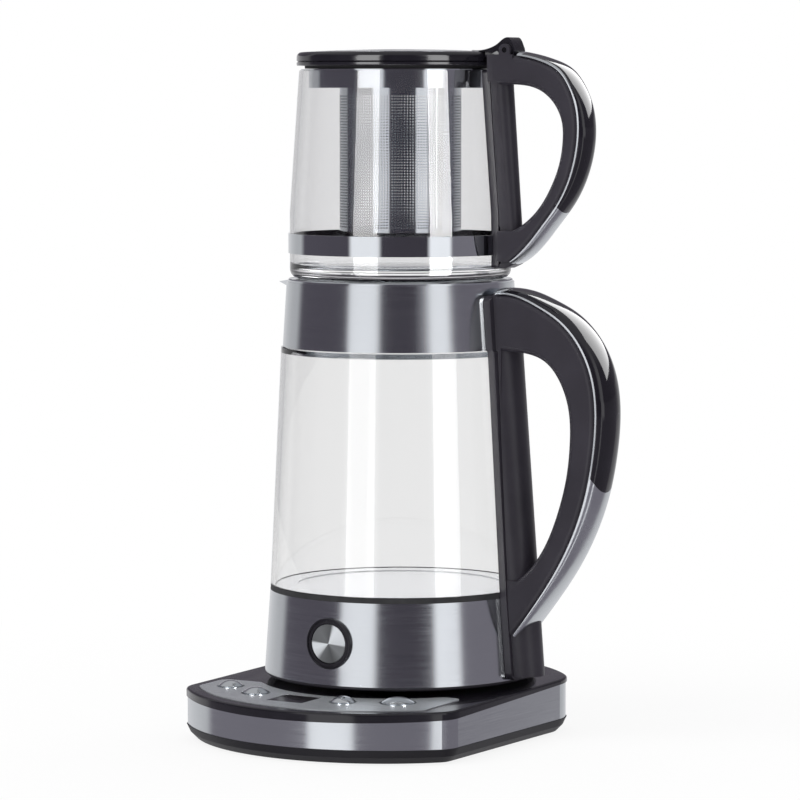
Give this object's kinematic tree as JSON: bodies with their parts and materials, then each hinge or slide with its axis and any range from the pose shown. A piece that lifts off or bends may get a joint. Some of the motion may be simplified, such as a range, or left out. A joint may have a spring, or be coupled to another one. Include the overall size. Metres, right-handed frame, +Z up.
{
  "type": "automatic tea maker",
  "caption": "Glass teapot with leaf infuser stacked on a cordless glass kettle, on a wedge-shaped powered base with a button panel and display.",
  "frame": {"origin": "on the kettle's vertical axis, in the plane of the rubber feet", "axes": "+Z up, +X towards both handles (the kettle's spout points to -X), -Y towards the user: control panel and kettle button"},
  "size_m": [0.2213, 0.2093, 0.3829],
  "materials": {
    "black_plastic": "satin black",
    "gloss_black": "piano black",
    "brushed_steel": "brushed stainless steel",
    "polished_steel": "polished stainless steel",
    "infuser_mesh": "perforated stainless steel",
    "chrome": "bright chrome",
    "clear_glass": "clear borosilicate glass",
    "display_lens": "smoked display lens",
    "grey_plastic": "dark grey technical plastic",
    "circuit_board": "green solder mask",
    "contact_brass": "brass",
    "rubber": "black rubber",
    "silicone": "translucent silicone",
    "element_aluminium": "cast aluminium",
    "fastener_steel": "plain steel"
  },
  "bodies": {
    "power_base": {"base_tray": "black_plastic", "base_band": "brushed_steel", "base_deck": "gloss_black", "control_panel": "brushed_steel", "display_window": "display_lens", "display_module": "grey_plastic", "control_board": "circuit_board", "power_board": "circuit_board", "power_components": "grey_plastic", "tact_switches": "grey_plastic", "base_socket": "grey_plastic", "socket_contacts": "contact_brass", "base_screws": "fastener_steel", "board_screws": "fastener_steel", "rubber_feet": "rubber", "cord_gland": "rubber"},
    "far_left_key": {"button_far_left": "chrome"},
    "left_key": {"button_left": "chrome"},
    "right_key": {"button_right": "chrome"},
    "far_right_key": {"button_far_right": "chrome"},
    "connector": {"kettle_connector": "grey_plastic", "connector_contacts": "contact_brass"},
    "kettle": {"kettle_bottom_cover": "black_plastic", "kettle_skirt": "brushed_steel", "kettle_gasket": "rubber", "heating_plate": "polished_steel", "heating_element": "element_aluminium", "thermostat": "grey_plastic", "kettle_glass": "clear_glass", "kettle_collar": "brushed_steel", "teapot_seat": "polished_steel", "button_bezel": "chrome", "button_guide": "black_plastic", "kettle_switch": "grey_plastic", "kettle_handle_plate": "black_plastic", "kettle_handle": "black_plastic", "kettle_handle_strip": "chrome", "kettle_handle_inlay": "gloss_black", "kettle_handle_screws": "fastener_steel"},
    "kettle_button": {"kettle_button_cap": "brushed_steel", "kettle_button_plunger": "black_plastic"},
    "teapot": {"teapot_glass": "clear_glass", "teapot_clamp_band": "polished_steel", "teapot_handle_plate": "black_plastic", "teapot_handle": "black_plastic", "teapot_handle_strip": "chrome", "teapot_handle_inlay": "gloss_black", "clamp_screw": "fastener_steel", "infuser_collar": "polished_steel", "infuser_basket": "infuser_mesh", "infuser_base": "infuser_mesh", "lid_hinge_pin": "fastener_steel"},
    "teapot_lid": {"lid_rim": "gloss_black", "lid_plate": "brushed_steel", "lid_seal": "silicone", "lid_lever": "gloss_black"}
  },
  "joints": [
    {"name": "kettle_lift", "type": "slide", "parent": "power_base", "child": "connector", "axis": [0, 0, 1], "range_m": [0, 0.1]},
    {"name": "kettle_turn", "type": "hinge", "parent": "connector", "child": "kettle", "pos_m": [0, 0, 0.041], "axis": [0, 0, 1], "continuous": true},
    {"name": "kettle_button_press", "type": "slide", "parent": "kettle", "child": "kettle_button", "axis": [0, 1, 0], "range_m": [0, 0.0025], "stiffness_N_per_m": 500, "springref_m": -0.001},
    {"name": "teapot_lift", "type": "slide", "parent": "kettle", "child": "teapot", "axis": [0, 0, 1], "range_m": [0, 0.08]},
    {"name": "lid_hinge", "type": "hinge", "parent": "teapot", "child": "teapot_lid", "pos_m": [0.0705, 0, 0.376], "axis": [0, 1, 0], "range_deg": [0, 85]},
    {"name": "far_left_press", "type": "slide", "parent": "power_base", "child": "far_left_key", "axis": [0, 0, -1], "range_m": [0, 0.0012], "stiffness_N_per_m": 500, "springref_m": -0.001},
    {"name": "left_press", "type": "slide", "parent": "power_base", "child": "left_key", "axis": [0, 0, -1], "range_m": [0, 0.0012], "stiffness_N_per_m": 500, "springref_m": -0.001},
    {"name": "right_press", "type": "slide", "parent": "power_base", "child": "right_key", "axis": [0, 0, -1], "range_m": [0, 0.0012], "stiffness_N_per_m": 500, "springref_m": -0.001},
    {"name": "far_right_press", "type": "slide", "parent": "power_base", "child": "far_right_key", "axis": [0, 0, -1], "range_m": [0, 0.0012], "stiffness_N_per_m": 500, "springref_m": -0.001}
  ]
}
